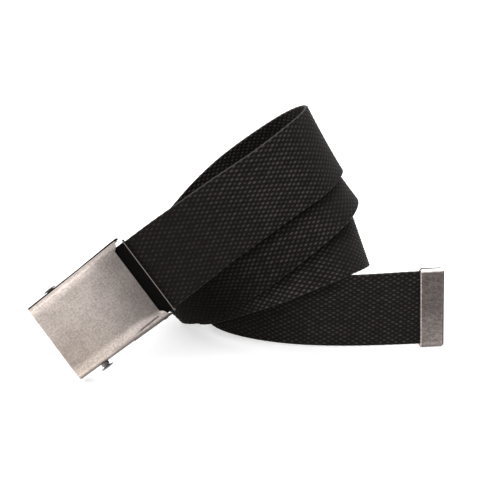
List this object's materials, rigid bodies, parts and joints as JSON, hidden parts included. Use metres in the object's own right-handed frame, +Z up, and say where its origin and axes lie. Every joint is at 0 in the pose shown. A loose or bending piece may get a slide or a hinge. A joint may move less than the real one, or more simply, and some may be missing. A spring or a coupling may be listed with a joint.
{
  "type": "canvas web belt",
  "caption": "Woven web belt, loosely rolled on its edge, with a sheet-metal slide buckle, an end clamp and a metal tip on the free end.",
  "frame": {"origin": "on the surface that the rolled belt stands on, under the middle of its box", "axes": "+X along the drawn-out free end, from the buckle's side to the tip; +Y from the viewer's side of the picture to the back; +Z up"},
  "size_m": [0.1961, 0.1116, 0.1142],
  "materials": {
    "web": "matt, woven in small staggered ribs",
    "plate": "satin, fine mottled grain",
    "bar": "dark, polished",
    "clamp": "black, satin",
    "tip": "satin, fine mottled grain"
  },
  "bodies": {
    "belt": {"web": "web", "buckle_plate": "plate", "clamp": "clamp", "tip": "tip"},
    "roller": {"roller_bar": "bar"}
  },
  "joints": [
    {"name": "roller_slide", "type": "slide", "parent": "belt", "child": "roller", "axis": [0.7977, 0.1886, 0.5728], "range_m": [0, 0.006]}
  ]
}
